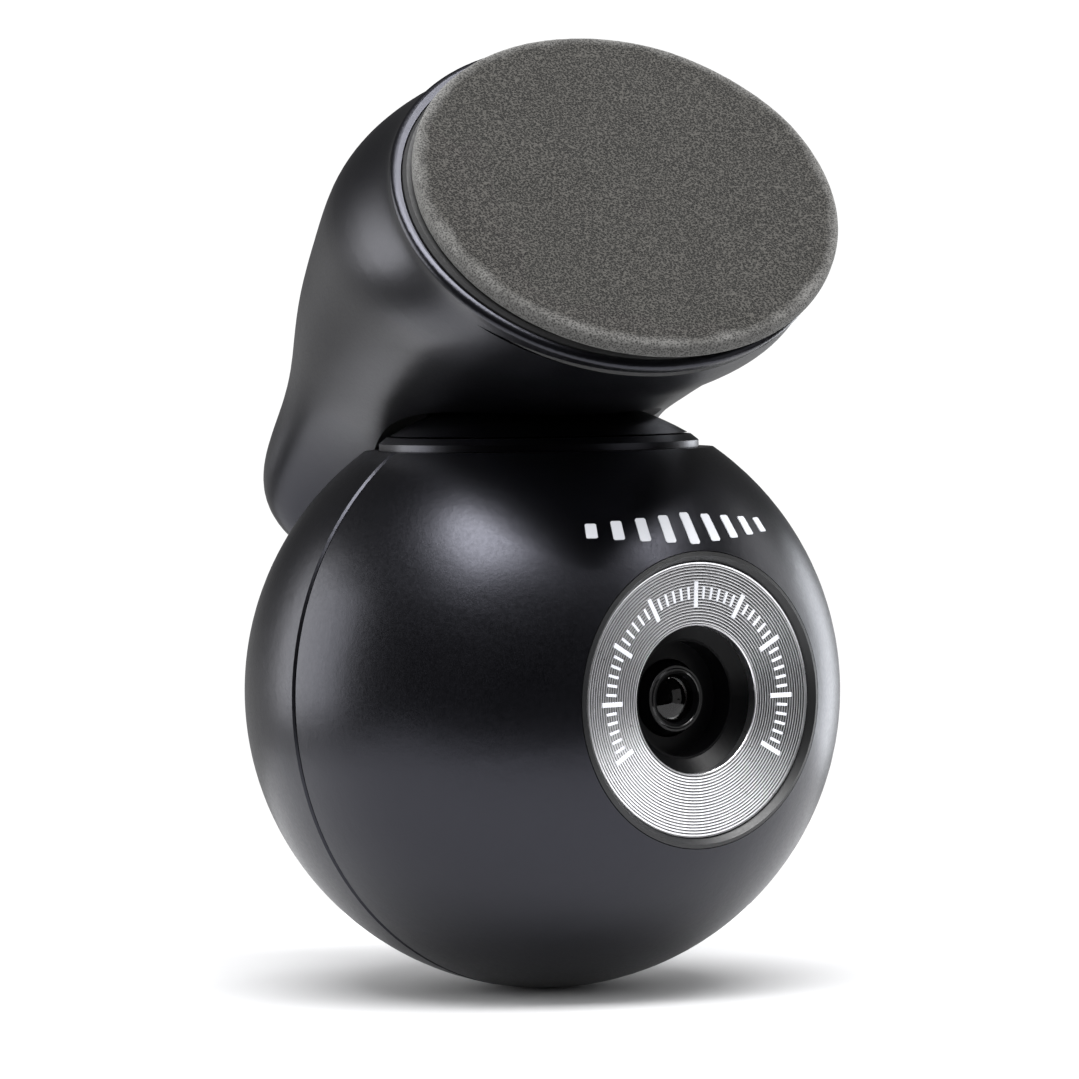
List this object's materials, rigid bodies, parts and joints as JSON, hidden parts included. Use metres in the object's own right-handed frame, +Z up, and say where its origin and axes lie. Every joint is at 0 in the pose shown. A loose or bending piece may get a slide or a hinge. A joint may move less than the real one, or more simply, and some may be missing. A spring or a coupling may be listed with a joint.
{
  "type": "dash camera",
  "caption": "Ball-shaped window-mounted dash camera: lens ball turning under a hook-shaped arm with a round adhesive foam pad.",
  "frame": {"origin": "centre of the sticky outer face of the round foam pad", "axes": "+Z up, +X to the object's left-right direction across the arm's symmetry plane YZ, -Y forward, the way the arm's pad faces"},
  "size_m": [0.038, 0.0505, 0.0603],
  "materials": {
    "foam": "closed-cell adhesive foam",
    "black_plastic": "moulded",
    "arm_plastic": "satin, finely grained",
    "shell_plastic": "satin, finely grained",
    "bezel_plastic": "satin gloss",
    "trim_metal": "spun with fine grooves",
    "screw_steel": "zinc plated",
    "steel": "plain",
    "washer_plastic": "black nylon",
    "socket_metal": "plated sheet",
    "circuit_board": "solder mask",
    "lead_jacket": "matt",
    "lens_black": "black anodised",
    "lens_glass": "coated",
    "filter_glass": "coated",
    "sensor": "sensor package",
    "chip": "chip package",
    "connector": "nylon",
    "flex": "polyimide"
  },
  "bodies": {
    "mount": {"foam_pad": "foam", "mount_plate": "black_plastic", "plate_screws": "screw_steel", "arm_shell": "arm_plastic", "hinge_pin": "steel", "hinge_cap": "black_plastic", "hinge_washers": "washer_plastic", "socket_shell": "socket_metal", "socket_tongue": "black_plastic", "socket_board": "circuit_board", "arm_lead": "lead_jacket"},
    "yoke": {"swivel_yoke": "arm_plastic", "friction_washer": "steel", "retaining_clip": "steel", "yoke_lead": "lead_jacket"},
    "ball": {"swivel_collar": "black_plastic", "front_shell": "shell_plastic", "rear_shell": "shell_plastic", "shell_screws": "screw_steel", "lens_bezel": "bezel_plastic", "trim_ring": "trim_metal", "lens_hood": "black_plastic", "lens_barrel": "lens_black", "front_lens": "lens_glass", "middle_lens": "lens_glass", "rear_lens": "lens_glass", "lens_spacer": "lens_black", "lens_holder": "black_plastic", "ir_filter": "filter_glass", "image_sensor": "sensor", "sensor_board": "circuit_board", "board_screws": "screw_steel", "main_board": "circuit_board", "video_chip": "chip", "memory_chip": "chip", "flex_connectors": "connector", "sensor_flex": "flex", "lead_connector": "connector", "ball_lead": "lead_jacket"}
  },
  "joints": [
    {"name": "tilt", "type": "hinge", "parent": "mount", "child": "yoke", "pos_m": [0, 0.03689, -0.0197], "axis": [1, 0, 0], "range_deg": [0, 90]},
    {"name": "swivel", "type": "hinge", "parent": "yoke", "child": "ball", "pos_m": [0, 0.0161, -0.0317], "axis": [0, 0, 1], "range_deg": [-138.25, 101.75]}
  ]
}
